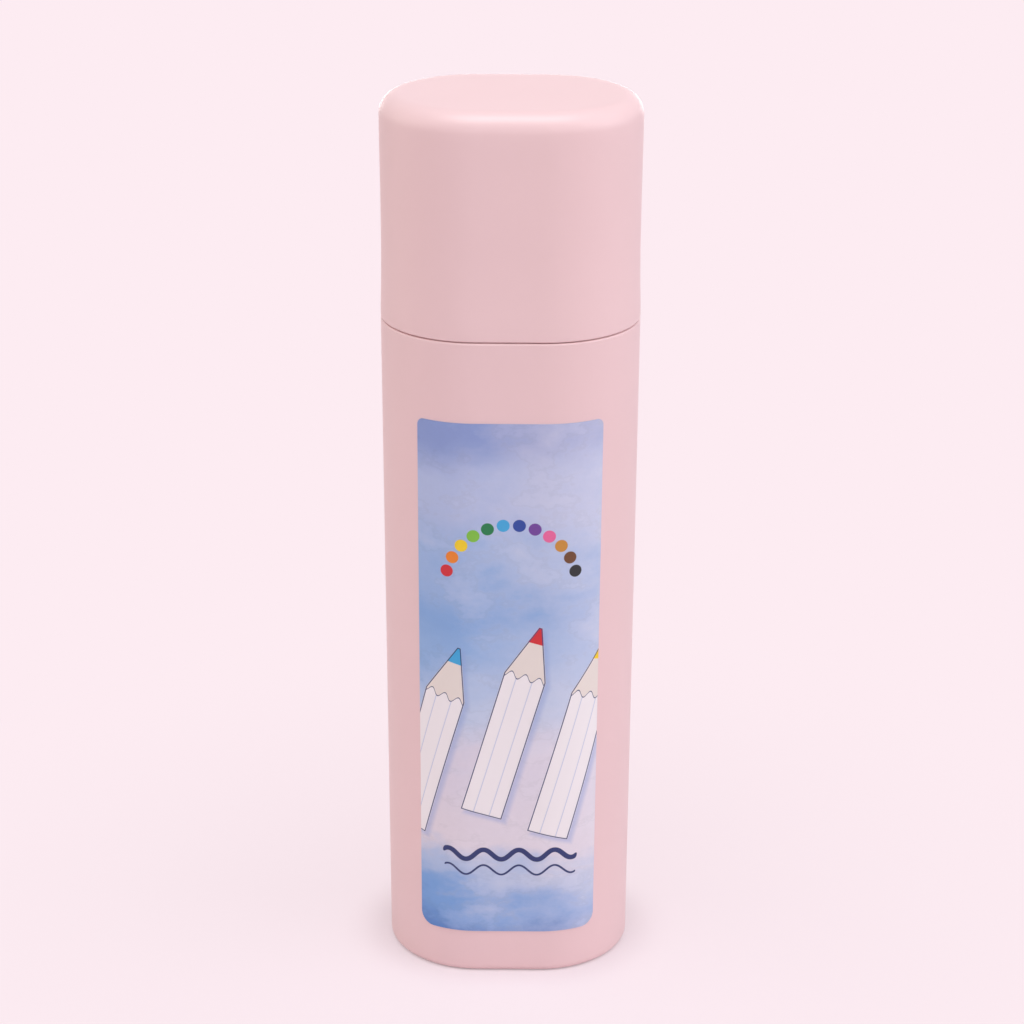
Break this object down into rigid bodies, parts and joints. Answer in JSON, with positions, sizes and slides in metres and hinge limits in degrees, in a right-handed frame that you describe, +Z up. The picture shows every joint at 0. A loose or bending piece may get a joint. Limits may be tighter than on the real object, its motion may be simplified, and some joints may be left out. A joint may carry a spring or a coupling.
{
  "type": "coloured pencil box",
  "caption": "Upright oval pencil box with a push-on cap over a stepped neck, a film label wrapped on its front, and loose coloured pencils standing inside.",
  "frame": {"origin": "middle of the face that the case stands on", "axes": "+Z up along the case, +X to the right seen from the front, the label faces -Y"},
  "size_m": [0.052, 0.0391, 0.185],
  "materials": {
    "pink_plastic": "satin matte moulded plastic",
    "label_film": "printed film, blue and white wash",
    "yellow_lacquer": "gloss yellow lacquer on cedar-like wood, bare at the sharpened cone",
    "yellow_lead": "waxy yellow pigment lead",
    "orange_lacquer": "gloss orange lacquer on cedar-like wood, bare at the sharpened cone",
    "orange_lead": "waxy orange pigment lead",
    "red_lacquer": "gloss red lacquer on cedar-like wood, bare at the sharpened cone",
    "red_lead": "waxy red pigment lead",
    "pink_lacquer": "gloss pink lacquer on cedar-like wood, bare at the sharpened cone",
    "pink_lead": "waxy pink pigment lead",
    "purple_lacquer": "gloss purple lacquer on cedar-like wood, bare at the sharpened cone",
    "purple_lead": "waxy purple pigment lead",
    "blue_lacquer": "gloss blue lacquer on cedar-like wood, bare at the sharpened cone",
    "blue_lead": "waxy blue pigment lead",
    "sky_blue_lacquer": "gloss sky blue lacquer on cedar-like wood, bare at the sharpened cone",
    "sky_blue_lead": "waxy sky blue pigment lead",
    "green_lacquer": "gloss green lacquer on cedar-like wood, bare at the sharpened cone",
    "green_lead": "waxy green pigment lead",
    "light_green_lacquer": "gloss light green lacquer on cedar-like wood, bare at the sharpened cone",
    "light_green_lead": "waxy light green pigment lead",
    "ochre_lacquer": "gloss ochre lacquer on cedar-like wood, bare at the sharpened cone",
    "ochre_lead": "waxy ochre pigment lead",
    "brown_lacquer": "gloss brown lacquer on cedar-like wood, bare at the sharpened cone",
    "brown_lead": "waxy brown pigment lead",
    "black_lacquer": "gloss black lacquer on cedar-like wood, bare at the sharpened cone",
    "black_lead": "waxy black pigment lead"
  },
  "bodies": {
    "case": {"case_body": "pink_plastic", "front_label": "label_film"},
    "cap": {"cap": "pink_plastic"},
    "yellow_pencil": {"yellow_pencil_slat_1": "yellow_lacquer", "yellow_pencil_slat_2": "yellow_lacquer", "yellow_pencil_lead": "yellow_lead"},
    "orange_pencil": {"orange_pencil_slat_1": "orange_lacquer", "orange_pencil_slat_2": "orange_lacquer", "orange_pencil_lead": "orange_lead"},
    "red_pencil": {"red_pencil_slat_1": "red_lacquer", "red_pencil_slat_2": "red_lacquer", "red_pencil_lead": "red_lead"},
    "pink_pencil": {"pink_pencil_slat_1": "pink_lacquer", "pink_pencil_slat_2": "pink_lacquer", "pink_pencil_lead": "pink_lead"},
    "purple_pencil": {"purple_pencil_slat_1": "purple_lacquer", "purple_pencil_slat_2": "purple_lacquer", "purple_pencil_lead": "purple_lead"},
    "blue_pencil": {"blue_pencil_slat_1": "blue_lacquer", "blue_pencil_slat_2": "blue_lacquer", "blue_pencil_lead": "blue_lead"},
    "sky_blue_pencil": {"sky_blue_pencil_slat_1": "sky_blue_lacquer", "sky_blue_pencil_slat_2": "sky_blue_lacquer", "sky_blue_pencil_lead": "sky_blue_lead"},
    "green_pencil": {"green_pencil_slat_1": "green_lacquer", "green_pencil_slat_2": "green_lacquer", "green_pencil_lead": "green_lead"},
    "light_green_pencil": {"light_green_pencil_slat_1": "light_green_lacquer", "light_green_pencil_slat_2": "light_green_lacquer", "light_green_pencil_lead": "light_green_lead"},
    "ochre_pencil": {"ochre_pencil_slat_1": "ochre_lacquer", "ochre_pencil_slat_2": "ochre_lacquer", "ochre_pencil_lead": "ochre_lead"},
    "brown_pencil": {"brown_pencil_slat_1": "brown_lacquer", "brown_pencil_slat_2": "brown_lacquer", "brown_pencil_lead": "brown_lead"},
    "black_pencil": {"black_pencil_slat_1": "black_lacquer", "black_pencil_slat_2": "black_lacquer", "black_pencil_lead": "black_lead"}
  },
  "joints": [
    {"name": "cap_lift", "type": "slide", "parent": "case", "child": "cap", "axis": [0, 0, 1], "range_m": [0, 0.06]},
    {"name": "yellow_pencil_slide", "type": "slide", "parent": "case", "child": "yellow_pencil", "axis": [0, 0, 1], "range_m": [0, 0.0045]},
    {"name": "orange_pencil_slide", "type": "slide", "parent": "case", "child": "orange_pencil", "axis": [0, 0, 1], "range_m": [0, 0.0045]},
    {"name": "red_pencil_slide", "type": "slide", "parent": "case", "child": "red_pencil", "axis": [0, 0, 1], "range_m": [0, 0.0045]},
    {"name": "pink_pencil_slide", "type": "slide", "parent": "case", "child": "pink_pencil", "axis": [0, 0, 1], "range_m": [0, 0.0045]},
    {"name": "purple_pencil_slide", "type": "slide", "parent": "case", "child": "purple_pencil", "axis": [0, 0, 1], "range_m": [0, 0.0045]},
    {"name": "blue_pencil_slide", "type": "slide", "parent": "case", "child": "blue_pencil", "axis": [0, 0, 1], "range_m": [0, 0.0045]},
    {"name": "sky_blue_pencil_slide", "type": "slide", "parent": "case", "child": "sky_blue_pencil", "axis": [0, 0, 1], "range_m": [0, 0.0045]},
    {"name": "green_pencil_slide", "type": "slide", "parent": "case", "child": "green_pencil", "axis": [0, 0, 1], "range_m": [0, 0.0045]},
    {"name": "light_green_pencil_slide", "type": "slide", "parent": "case", "child": "light_green_pencil", "axis": [0, 0, 1], "range_m": [0, 0.0045]},
    {"name": "ochre_pencil_slide", "type": "slide", "parent": "case", "child": "ochre_pencil", "axis": [0, 0, 1], "range_m": [0, 0.0045]},
    {"name": "brown_pencil_slide", "type": "slide", "parent": "case", "child": "brown_pencil", "axis": [0, 0, 1], "range_m": [0, 0.0045]},
    {"name": "black_pencil_slide", "type": "slide", "parent": "case", "child": "black_pencil", "axis": [0, 0, 1], "range_m": [0, 0.0045]}
  ]
}
